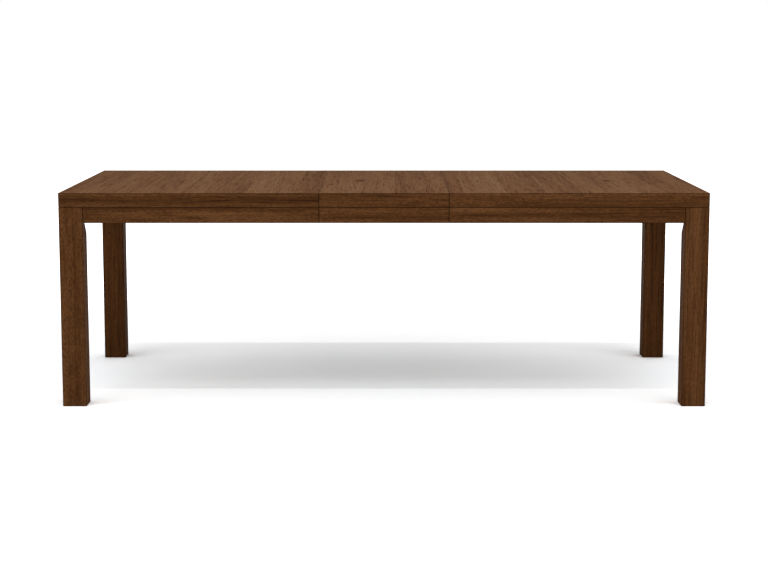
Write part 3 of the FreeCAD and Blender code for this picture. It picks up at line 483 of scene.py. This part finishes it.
def layupRamps(tree, across, layup, low, high):
    # tone ramp: flat over each leaf, dipping at its joints; seed ramp: one random number a leaf
    random = np.random.default_rng(veneerLook["seedStart"])
    share = addNode(tree, "MapRange", {"Value": across, "From Min": low, "From Max": high}).outputs["Result"]
    tones = addNode(tree, "ValToRGB", {"Fac": share})
    seeds = addNode(tree, "ValToRGB", {"Fac": share})
    seeds.color_ramp.interpolation = "CONSTANT"
    length = sum(width for width, tone, joint in layup)
    toneStops, seedStops, start = [], [], 0.0
    for width, tone, joint in layup:
        end = start + width
        toneStops += [(start + veneerLook["jointHalf"], tone), (end - veneerLook["jointHalf"], tone),
                      (end, tone - joint)]
        seedStops.append((start, random.random()))
        start = end
    for ramp, stops in ((tones.color_ramp, [(p, t + 0.5) for p, t in toneStops]),
                        (seeds.color_ramp, seedStops)):
        while len(ramp.elements) < len(stops):
            ramp.elements.new(1.0)
        for element, (position, level) in zip(ramp.elements, stops):
            element.position = position / length
            element.color = (level, level, level, 1)
    return doMath(tree, "SUBTRACT", tones.outputs[0], 0.5), seeds.outputs[0]


knotLook = {
    "length": 0.06, "width": 0.026, "bow": -0.72, "bowFade": 0.25, "near": -0.10,
    "frayScale": 260.0, "fray": 0.30, "coreFade": (0.58, 0.74), "core": -0.70,
    "heartFade": (0.70, 0.86), "heart": 0.24, "heartRings": 0.16, "turns": 34.0, "turnFray": 7.0,
    "outerTurns": 14.0, "outerRings": 0.10,
    "places": {"leaf": (-0.0916, 0.0), "right": (0.8445, 0.0)},         # x, y
}


def buildPinKnot():
    # q = (u / length)^2 + (v / width)^2 about the knot, g = exp(-q); the figure bows round it by
    # v times exp(-q / 4)
    # the core is where g, frayed by a noise, is high: dark at its rim, with rings inside it,
    # sin(turns times sqrt(q) + noise); two faint rings stand round it
    look = knotLook
    group, given, made = startGroup("pinKnot", [
        ("Place", "Vector", None), ("Centre", "Vector", None), ("Length", "Float", look["length"]),
        ("Width", "Float", look["width"]),
    ], [("Place", "Vector"), ("Tone", "Float")])
    offset = doVector(group, "SUBTRACT", given["Place"], given["Centre"])
    axes = addNode(group, "SeparateXYZ", {0: offset}).outputs
    along = doMath(group, "DIVIDE", axes["X"], given["Length"])
    across = doMath(group, "DIVIDE", axes["Y"], given["Width"])
    square = doMath(group, "ADD", doMath(group, "MULTIPLY", along, along),
                    doMath(group, "MULTIPLY", across, across))
    near = fadeOut(group, square)
    wide = fadeOut(group, square, look["bowFade"])
    bow = doMath(group, "MULTIPLY", doMath(group, "MULTIPLY", axes["Y"], wide), look["bow"])
    moved = doVector(group, "ADD", given["Place"], addNode(group, "CombineXYZ", {"Y": bow}).outputs[0])
    group.links.new(moved, made["Place"])
    fray = addNode(group, "TexNoise", {"Vector": given["Place"], "Scale": look["frayScale"],
                                       "Detail": 2.0}).outputs["Fac"]
    frayed = doMath(group, "MULTIPLY_ADD", doMath(group, "SUBTRACT", fray, 0.5), look["fray"], near)
    core = smoothBetween(group, frayed, *look["coreFade"])
    heart = smoothBetween(group, frayed, *look["heartFade"])
    turns = doMath(group, "MULTIPLY", fray, look["turnFray"])
    turns = doMath(group, "MULTIPLY_ADD", doMath(group, "SQRT", square), look["turns"], turns)
    inner = doMath(group, "MULTIPLY_ADD", doMath(group, "SINE", turns), look["heartRings"], look["heart"])
    rings = doMath(group, "SINE", doMath(group, "MULTIPLY", square, look["outerTurns"]))
    rings = doMath(group, "MULTIPLY", rings, near)
    tone = doMath(group, "MULTIPLY", rings, look["outerRings"])
    tone = doMath(group, "MULTIPLY_ADD", core, look["core"], tone)
    tone = doMath(group, "MULTIPLY_ADD", heart, inner, tone)
    group.links.new(doMath(group, "MULTIPLY_ADD", near, look["near"], tone), made["Tone"])
    return group


pinKnot = buildPinKnot()

for panel, layup in veneerLayup.items():
    look = veneerLook
    name = panel + "_top_veneer"
    low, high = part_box(name)
    material, tree, surface = startMaterial(panel + "VeneerWalnut")
    place = grainPlace(tree, "yxz")
    across = addNode(tree, "SeparateXYZ", {0: place}).outputs["Y"]
    tone, seed = layupRamps(tree, across, layup, low.x, high.x)
    if panel in knotLook["places"]:
        x, y = knotLook["places"][panel]
        knot = useGroup(tree, pinKnot, Place=place, Centre=(y, x, high.z))
        place, tone = knot["Place"], doMath(tree, "ADD", tone, knot["Tone"])
    seed = doMath(tree, "MULTIPLY_ADD", seed, look["seedReach"], look["firstSeed"][panel])
    side, under = look["openBox"]["side"], look["openBox"]["under"]
    # painted shade: a dark line along the panel's seam ends stands for the shade in the gap between panels
    seamShade = useGroup(tree, paintedEdgeShade, Low=(low.x, -side, under), High=(high.x, side, high.z),
                    Width=look["seamWidth"])["Line"]
    pith = (0, low.x - look["pithAside"], look["pithLevel"])
    figure = useGroup(tree, woodFigure, **{**veneer, "Place": place, "Seed": seed, "Tone": tone,
                                           "Shade And Glue": seamShade, "Pith": pith})
    finishWood(tree, surface, figure, finish["topSpecular"])
    dress(name, material)


# how a board differs from its species: tone, and a heart band (depth, where across the grain, half width)
boardFigure = {
    "left_front_edge_rail": (0.03, 0.45, 0.738, 0.015), "leaf_front_edge_rail": (0.06, 0.15, 0.757, 0.004),
    "right_front_edge_rail": (0.03, 0.0, 0.74, 0.01), "left_front_apron": (0.19, 0.40, 0.711, 0.018),
    "leaf_front_apron": (0.30, 0.40, 0.677, 0.012), "right_front_apron": (0.06, 0.40, 0.6825, 0.012),
    "left_front_leg": (0.06, 0.14, -1.086, 0.010), "right_front_leg": (0.06, 0.40, 1.130, 0.014),
    # the back legs' darker tone is painted shade, for the shade they stand in under the table
    "left_back_leg": (-0.13, 0.0, 0.0, 0.01), "right_back_leg": (-0.13, 0.0, 0.0, 0.01),
}
boardSpeckle = {"left_front_leg": {"Lines": 0.15, "Mottle": 0.35, "Flecks": 0.6}}

# words in a board's name, its species, its grain order, how far the pith lies from its middle along
# the order's second and third axis, and what its joints show (edges: painted shade along them; plies: glue
# lines); the first row that fits is taken
boardKinds = (
    (("corner_blocks",), poplar, "corner", (0.0, 0.3), None),
    (("blocks",), poplar, "xzy", (0.0, 0.1), None),
    (("end_edge_rail", "end_apron"), walnut, "yzx", (-0.02, 0.09), "edges"),
    (("edge_rail", "apron"), walnut, "xzy", (-0.02, 0.09), "edges"),
    (("leg",), legWalnut, "zxy", (-0.06, 0.10), "edges"),
    (("core_panel",), plywood, "yxz", (0.0, -0.4), "plies"),
    (("rail",), maple, "xzy", (0.0, 0.1), None),
    (("ties",), maple, "yxz", (0.0, -0.1), None),
    (("alignment",), beech, "xzy", (0.0, 0.0), None),
)


def dressBoard(name):
    # a board's material, from the first kind that has a word of its name; other nodes are left
    for words, species, order, fromMiddle, joints in boardKinds:
        if any(word in name for word in words):
            break
    else:
        return
    low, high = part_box(name)
    middle = (low + high) / 2
    seed = sum(map(ord, name)) % 97 / 7
    if order == "corner":
        beside, behind = middle.z, 0.0
    else:
        beside, behind = (middle["xyz".index(axis)] for axis in order[1:])
    pith = (0, beside + fromMiddle[0], behind + fromMiddle[1])
    changes = {}
    # boards marked edges take the painted shade line along their edges
    if joints == "edges":
        figure = boardFigure.get(name, (0.0, 0.0, 0.0, 0.01))
        changes = {"edges": (low, high), **dict(zip(("Tone", "Heart", "Heart At", "Heart Half"), figure)),
                   **boardSpeckle.get(name, {})}
    elif joints == "plies":
        changes = {"plyFrom": low.z}
    dress(name, woodMaterial(name, species, order, seed, pith, **changes))


for name in nodes:
    dressBoard(name)


# the plain blocks and rails have sharp CAD edges: they are eased by a small bevel

easeLook = {"weld": 0.00001, "flat": 0.5, "width": 0.0008, "segments": 2, "from": 35.0}


def easeEdges(piece):
    # weld and flatten the CAD triangles, then bevel each edge sharper than the angle
    weld = piece.modifiers.new("weld", "WELD")
    weld.merge_threshold = easeLook["weld"]
    flatten = piece.modifiers.new("flatten", "DECIMATE")
    flatten.decimate_type = "DISSOLVE"
    flatten.angle_limit = math.radians(easeLook["flat"])
    bevel = piece.modifiers.new("ease", "BEVEL")
    bevel.width = easeLook["width"]
    bevel.segments = easeLook["segments"]
    bevel.limit_method = "ANGLE"
    bevel.angle_limit = math.radians(easeLook["from"])
    bevel.harden_normals = True


for name in nodes:
    if "block" in name or "slide_rail" in name or "centre_rail" in name or "cross_ties" in name:
        easeEdges(nodes[name])
print("wood done")


# steel and nylon

steelLook = {
    "Dull": (0.30, 0.31, 0.32, 1), "Bright": (0.62, 0.63, 0.64, 1), "Grime": (0.10, 0.09, 0.075, 1),
    "Grain": 900.0, "Spangle": 160.0, "Wear": 0.5, "specular": 0.5, "bump": 0.00003,
}
nylonLook = {
    "Dull": (0.55, 0.53, 0.46, 1), "Bright": (0.74, 0.73, 0.67, 1), "Grime": (0.28, 0.25, 0.20, 1),
    "Grain": 2600.0, "Spangle": 60.0, "Wear": 0.25, "specular": 0.35, "bump": 0.00004,
}
skinLook = {
    "cellShare": 0.35, "cloudShare": 0.65, "broadScale": 35.0, "grimeFade": (0.26, 0.42),
    "rough": 0.22, "roughGrain": 0.25, "roughGrime": 0.4,
}


def buildHardSkin():
    # cloud = random cells and a noise, both at the spangle's scale; grain = a fine noise
    # colour = dull to bright by the cloud, towards grime where a broad noise times the grain is high
    look = skinLook
    group, given, made = startGroup("hardSkin", [
        ("Grain", "Float", 900.0), ("Spangle", "Float", 160.0), ("Wear", "Float", 0.5),
        ("Dull", "Color", None), ("Bright", "Color", None), ("Grime", "Color", None),
    ], [("Color", "Color"), ("Roughness", "Float"), ("Height", "Float")])
    place = addNode(group, "TexCoord").outputs["Object"]
    cells = addNode(group, "TexVoronoi", {"Vector": place, "Scale": given["Spangle"]}).outputs["Color"]
    cells = addNode(group, "SeparateXYZ", {0: cells}).outputs["X"]

    def skinNoise(scale, detail):
        return addNode(group, "TexNoise", {"Vector": place, "Scale": scale, "Detail": detail}).outputs["Fac"]

    soft = doMath(group, "MULTIPLY", skinNoise(given["Spangle"], 3.0), look["cloudShare"])
    cloud = doMath(group, "MULTIPLY_ADD", cells, look["cellShare"], soft)
    color = mixColors(group, cloud, given["Dull"], given["Bright"])
    grain = skinNoise(given["Grain"], 2.0)
    grimy = doMath(group, "MULTIPLY", skinNoise(look["broadScale"], 4.0), grain)
    grimy = doMath(group, "MULTIPLY", smoothBetween(group, grimy, *look["grimeFade"]), given["Wear"])
    group.links.new(mixColors(group, grimy, color, given["Grime"]), made["Color"])
    rough = doMath(group, "MULTIPLY_ADD", grimy, look["roughGrime"], look["rough"])
    rough = doMath(group, "MULTIPLY_ADD", grain, look["roughGrain"], rough)
    group.links.new(rough, made["Roughness"])
    group.links.new(grain, made["Height"])
    return group


hardSkin = buildHardSkin()


def hardMaterial(name, look, metallic):
    # plated steel or moulded nylon
    material, tree, surface = startMaterial(name)
    skin = useGroup(tree, hardSkin, **{label: look[label] for label in
                                       ("Grain", "Spangle", "Wear", "Dull", "Bright", "Grime")})
    bump = addNode(tree, "Bump", {"Height": skin["Height"], "Strength": 1.0, "Distance": look["bump"]})
    shader = addNode(tree, "BsdfPrincipled", {
        "Base Color": skin["Color"], "Roughness": skin["Roughness"], "Metallic": metallic,
        "Normal": bump.outputs["Normal"], "Specular IOR Level": look["specular"]})
    tree.links.new(shader.outputs[0], surface)
    return material


steel = hardMaterial("zincSteel", steelLook, 1.0)
nylon = hardMaterial("gearNylon", nylonLook, 0.0)
for name in nodes:
    if any(word in name for word in ("lock", "screws", "bolts", "nuts", "axles")) and "block" not in name:
        dress(name, steel)
    elif "pinion" in name or "rack" in name:
        dress(name, nylon)
print("steel and nylon done")


# turned and threaded pieces, each worked out along its own z and set on its line in the table

turnedSharp = 35.0                              # degrees past which an edge stays sharp


def closedSkin(rings, start=None, end=None):
    # rings of points joined by quads; a fan to the start and end points, or else the last ring
    # joined to the first
    rows, around = rings.shape[:2]
    ring = np.arange(rows * around).reshape(rows, around)
    after = np.roll(ring, -1, axis=1)
    if start is None:
        above, aboveAfter = np.roll(ring, -1, axis=0), np.roll(after, -1, axis=0)
        faces = np.stack([ring, after, aboveAfter, above], -1).reshape(-1, 4).tolist()
        return rings.reshape(-1, 3), faces
    faces = np.stack([ring[:-1], after[:-1], after[1:], ring[1:]], -1).reshape(-1, 4).tolist()
    first, last = rows * around, rows * around + 1
    faces += np.stack([after[0], ring[0], np.full(around, first)], -1).tolist()
    faces += np.stack([ring[-1], after[-1], np.full(around, last)], -1).tolist()
    return np.vstack([rings.reshape(-1, 3), [start, end]]), faces


def evenAngles(around):
    # that many angles round a full turn, as one row
    return np.linspace(0, 2 * math.pi, around, endpoint=False)[None, :]


def turnedRings(radius, height, angle):
    # x = r cos t, y = r sin t, z = height; radius and height are arrays over (row, angle)
    return np.stack([radius * np.cos(angle), radius * np.sin(angle), height + 0 * angle], -1)


def placeCopies(name, points, faces, lines, body, slot, stands, material):
    # the same shape on each line (start, direction), as one piece that stands for a CAD node
    allPoints, allFaces = [], []
    for copy, (start, direction) in enumerate(lines):
        turn = np.array(Vector(direction).normalized().to_track_quat("Z", "Y").to_matrix())
        allPoints.append(points @ turn.T + np.array(start))
        allFaces += [[corner + copy * len(points) for corner in face] for face in faces]
    mesh = bpy.data.meshes.new(name)
    mesh.from_pydata(np.vstack(allPoints).tolist(), [], allFaces)
    mesh.shade_smooth()
    mesh.set_sharp_from_angle(angle=math.radians(turnedSharp))
    mesh.materials.append(material)
    piece = bpy.data.objects.new(name, mesh)
    scene.collection.objects.link(piece)
    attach(piece, body)
    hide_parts(stands)
    return piece


def threadRadius(height, angle, root, crest, pitch):
    # r = root + (crest - root) times a triangle wave of (height / pitch - angle / 2 pi)
    turn = np.mod(height / pitch - angle / (2 * math.pi), 1.0)
    return root + (crest - root) * (1 - np.abs(2 * turn - 1))


boltLook = {
    "embed": 0.045, "nutFrom": 0.039414,                        # in the leg, and from its cut face to the nut
    "proud": 0.016,                                             # from the nut's seat to the bolt's end
    "radius": 0.0040, "lagRoot": 0.0028, "lagPitch": 0.0030, "lagEnd": 0.040, "root": 0.0034,
    "pitch": 0.00125, "threadFrom": 0.062, "plain": 0.97, "tip": 0.25, "taper": 0.006, "endSlope": 0.6,
    "around": 20, "lagSteps": 8, "steps": 6,
}


def hangerBolt():
    # r = a lag thread, a plain shank or a machine thread, by the height; at the point the lag thread's
    # r is multiplied by tip + (1 - tip) height / taper, and the other end stays inside a cone
    look = boltLook
    length = look["embed"] + look["nutFrom"] + look["proud"]
    lag = np.arange(0.0006, look["lagEnd"], look["lagPitch"] / look["lagSteps"])
    shank = np.linspace(look["lagEnd"] + 0.001, look["threadFrom"] - 0.001, 4)
    machine = np.arange(look["threadFrom"], length - 0.0003, look["pitch"] / look["steps"])
    height = np.concatenate([lag, shank, machine])[:, None]
    angle = evenAngles(look["around"])
    lagRadius = threadRadius(height, angle, look["lagRoot"], look["radius"], look["lagPitch"])
    lagRadius = lagRadius * np.clip(look["tip"] + (1 - look["tip"]) * height / look["taper"], 0, 1)
    cut = threadRadius(height, angle, look["root"], look["radius"], look["pitch"])
    cut = np.minimum(cut, look["root"] + (length - height) * look["endSlope"])
    radius = np.where(height < look["lagEnd"], lagRadius,
                      np.where(height < look["threadFrom"], look["radius"] * look["plain"], cut))
    return closedSkin(turnedRings(radius, height, angle), (0, 0, 0), (0, 0, length))


nutLook = {
    "across": 0.013, "flange": 0.009, "flangeRim": 0.0008, "rimEase": 0.0004, "flangeTop": 0.0015,
    "foot": 0.0011, "top": 0.0095, "bore": 0.0040, "boreEase": 0.0005, "chamfer": 0.0008,
    "step": 0.0003, "around": 48,
}


def flangeNut():
    # sections (radius or share of the hexagon, height, whether hexagonal) in a ring round the bore;
    # hexagon radius = half the width across flats / cos(angle to the nearest flat)
    look = nutLook
    angle = evenAngles(look["around"])
    toFlat = np.mod(angle + math.pi / 6, math.pi / 3) - math.pi / 6
    hexagon = look["across"] / 2 / np.cos(toFlat)
    circle = np.ones_like(angle)
    side, step, inner = look["across"] / 2, look["step"], look["flange"] - look["rimEase"]
    sections = [
        (look["bore"] + look["boreEase"], 0.0, 0), (inner, 0.0, 0),
        (look["flange"], step, 0), (look["flange"], look["flangeRim"], 0),
        (inner, look["flangeRim"] + step, 0), (side + look["foot"], look["flangeTop"], 0),
        (1.0, look["flangeTop"] + step, 1), (1.0, look["top"] - look["chamfer"], 1),
        (side + step / 3, look["top"], 0), (look["bore"] + look["boreEase"], look["top"], 0),
        (look["bore"], look["top"] - look["boreEase"], 0), (look["bore"], look["boreEase"], 0),
    ]
    radius = np.vstack([hexagon * r if hexed else circle * r for r, z, hexed in sections])
    height = np.array([z for r, z, hexed in sections])[:, None]
    return closedSkin(turnedRings(radius, height, angle))


screwLook = {
    "headRadius": 0.0042, "headRim": 0.0010, "headHeight": 0.0030, "shank": 0.00225, "root": 0.00155,
    "pitch": 0.0020, "steps": 6, "point": 0.0045, "hub": 0.0009, "armReach": 0.0024,
    "recess": 0.0017, "armAngle": 0.22, "rimEase": 0.0001, "length": 0.050, "tieLength": 0.030,
    "bite": 0.018,                                              # how far a top screw goes into the top
    "faceRings": (0.0004, 0.0008, 0.0010, 0.0015, 0.0020, 0.0023, 0.0025, 0.0031, 0.0039),
    "quarterAngles": (-0.27, -0.20, -0.07, 0.07, 0.20, 0.27, 0.53, 0.785, 1.04),
}


def woodScrew(length):
    # head face with a cross recess: sunk within the hub, and out to the arm reach where the angle
    # to the nearest arm is small; the floor rises outwards by half the recess
    look = screwLook
    quarter = np.array(look["quarterAngles"])
    angle = np.concatenate([quarter + turn * math.pi / 2 for turn in range(4)])[None, :]
    spread = np.array(look["faceRings"])[:, None]
    toArm = np.abs(np.mod(angle + math.pi / 4, math.pi / 2) - math.pi / 4)
    sunk = (spread < look["hub"]) | ((toArm < look["armAngle"]) & (spread < look["armReach"]))
    floorRise = 1 - 0.5 * spread / look["armReach"]
    face = turnedRings(spread + 0 * angle, sunk * floorRise * look["recess"], angle)
    ease = look["rimEase"]
    rimRadius = np.array([look["headRadius"] - ease, look["headRadius"], look["headRadius"]])[:, None]
    rimHeight = np.array([ease, 3 * ease, look["headRim"]])[:, None]
    rim = turnedRings(rimRadius + 0 * angle, rimHeight, angle)
    height = np.arange(look["headHeight"], length - 0.0004, look["pitch"] / look["steps"])[:, None]
    radius = threadRadius(height, angle, look["root"], look["shank"], look["pitch"])
    radius = np.where(height < look["headHeight"] + 0.001, look["shank"], radius)
    radius = radius * np.clip((length - height) / look["point"], 0, 1)
    shank = turnedRings(radius, height, angle)
    return closedSkin(np.concatenate([face, rim, shank]), (0, 0, look["recess"]), (0, 0, length))


pinLook = {
    "radius": 0.0050, "length": 0.037, "tip": 0.0022, "tipRows": 6, "seat": 0.022, "flutes": 12,
    "fluteDepth": 0.0004, "fluteSharp": 1.6, "around": 72, "rows": (0.010, 0.021, 0.022, 0.027),
    "proud": 0.012, "inset": 0.1084, "spacing": 0.250, "underTop": 0.0132,      # its place in the half
}


def fluteWoodPin():
    # r = pin radius - flute depth times a rounded comb of the angle on the seated part; each tip is
    # a quarter circle: r = radius - tip (1 - sin t), height = tip (1 - cos t)
    look = pinLook
    angle = evenAngles(look["around"])
    turn = np.linspace(0.15, 1, look["tipRows"]) * math.pi / 2
    tipHeight, tipRadius = look["tip"] * (1 - np.cos(turn)), look["radius"] - look["tip"] * (1 - np.sin(turn))
    height = np.concatenate([tipHeight, look["rows"], look["length"] - tipHeight[::-1]])[:, None]
    straight = np.full(len(look["rows"]), look["radius"])
    outer = np.concatenate([tipRadius, straight, tipRadius[::-1]])[:, None]
    comb = np.clip(np.cos(angle * look["flutes"]) * look["fluteSharp"], 0, 1)
    radius = outer - look["fluteDepth"] * comb * (height < look["seat"])
    return closedSkin(turnedRings(radius, height, angle), (0, 0, 0), (0, 0, look["length"]))


# where the fasteners stand: corner screws from the outer edges, slide screws from the seam and from
# the slide's middle, tie screws from the table's middle
screwPlaces = {
    "cut": 0.045,                                               # width of the leg's cut corner
    "cornerMiddle": 0.076635, "cornerSpread": 0.025,
    "slideFirst": 0.060, "slideStep": 0.150, "slideCount": 3, "slideAside": 0.030,
    "tieMiddle": 0.260, "tieSpread": 0.010,
}

endX, frontY, topZ = cadBox[1]
legBox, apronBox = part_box("left_front_leg"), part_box("left_front_apron")
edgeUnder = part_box("left_end_edge_rail")[0].z
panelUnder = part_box("left_core_panel")[0].z
seamX = -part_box("left_core_panel")[1].x
slideY = -sum(corner.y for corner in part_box("front_centre_rail")) / 2
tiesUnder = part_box("cross_ties")[0].z
cutMiddle = legBox[1].x - legBox[0].x - screwPlaces["cut"] / 2
apronMiddle = (apronBox[0].z + apronBox[1].z) / 2
upwards = (0, 0, 1)


def halfFasteners(side):
    # the lines (start, direction) of one half's bolts, nuts, screws and pins
    look = screwPlaces
    bolts, nuts, screws = [], [], []
    far, near = look["cornerMiddle"] + look["cornerSpread"], look["cornerMiddle"] - look["cornerSpread"]
    screwFrom = screwLook["bite"] - screwLook["length"]
    for way in (-1, 1):
        inward = np.array((-side, -way, 0)) / math.sqrt(2)
        cut = np.array((side * (endX - cutMiddle), way * (frontY - cutMiddle), apronMiddle))
        bolts.append((cut - inward * boltLook["embed"], inward))
        nuts.append((cut + inward * boltLook["nutFrom"], inward))
        screws += [((side * (endX - alongX), way * (frontY - alongY), edgeUnder + screwFrom), upwards)
                   for alongX, alongY in ((far, near), (near, far))]
    slideX = [seamX + look["slideFirst"] + number * look["slideStep"] for number in range(look["slideCount"])]
    screws += [((side * x, side * y, panelUnder + screwFrom), upwards)
               for x in slideX for y in (slideY + look["slideAside"], look["slideAside"] - slideY)]
    pinY = frontY - pinLook["inset"]
    pins = [((side * (seamX - pinLook["proud"]), side * y, topZ - pinLook["underTop"]), (side, 0, 0))
            for y in (pinY, pinLook["spacing"] - pinY)]
    return bolts, nuts, screws, pins


for half, side in (("left", -1), ("right", 1)):
    body = half + "_half"
    bolts, nuts, screws, pins = halfFasteners(side)
    screw = woodScrew(screwLook["length"])
    pinBeech = nodes[half + "_alignment_pins"].data.materials[0]
    placeCopies(half + "HangerBolts", *hangerBolt(), bolts, body, "zinc_steel", half + "_hanger_bolts", steel)
    placeCopies(half + "FlangeNuts", *flangeNut(), nuts, body, "zinc_steel", half + "_flange_nuts", steel)
    placeCopies(half + "TopScrews", *screw, screws, body, "zinc_steel", half + "_top_screws", steel)
    placeCopies(half + "AlignmentPins", *fluteWoodPin(), pins, body, "pin_beech",
                half + "_alignment_pins", pinBeech)

tieX = [screwPlaces["tieMiddle"] + way * screwPlaces["tieSpread"] for way in (-1, 1)]
tieScrews = [((sideX * x, sideY * slideY, tiesUnder), upwards)
             for sideX in (-1, 1) for sideY in (-1, 1) for x in tieX]
placeCopies("tieScrews", *woodScrew(screwLook["tieLength"]), tieScrews, "slide_core", "zinc_steel",
            "tie_screws", steel)
print("turned pieces done")
